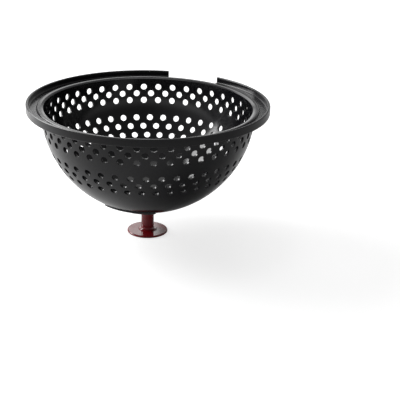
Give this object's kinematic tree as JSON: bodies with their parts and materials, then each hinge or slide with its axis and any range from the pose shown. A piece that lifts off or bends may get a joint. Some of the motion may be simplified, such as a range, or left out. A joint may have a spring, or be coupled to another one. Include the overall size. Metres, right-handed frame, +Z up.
{
  "type": "stovetop popcorn popper dome",
  "caption": "Perforated black dome lid that pops corn on a frying pan and turns over into a serving bowl on its red spool knob.",
  "frame": {"origin": "centre of the knob disc's flat face, on the dome's axis, where the bowl stands", "axes": "+Z up along the dome's axis out of the open bowl, +Y towards the handle notch in the rim, -Y towards the blank oval panel"},
  "size_m": [0.28, 0.276, 0.161],
  "materials": {
    "black_nylon": "glossy injection-moulded black heat-resistant nylon",
    "red_phenolic": "glossy moulded deep red heat-resistant plastic",
    "stainless_steel": "plain stainless fastener",
    "silicone_seal": "matt black silicone"
  },
  "bodies": {
    "root": {"bowl_shell": "black_nylon", "knob": "red_phenolic", "knob_screw": "stainless_steel", "screw_head_washer": "stainless_steel", "stem_gasket": "silicone_seal", "inner_washer": "stainless_steel", "lock_washer": "stainless_steel", "cap_nut": "stainless_steel"}
  },
  "joints": []
}
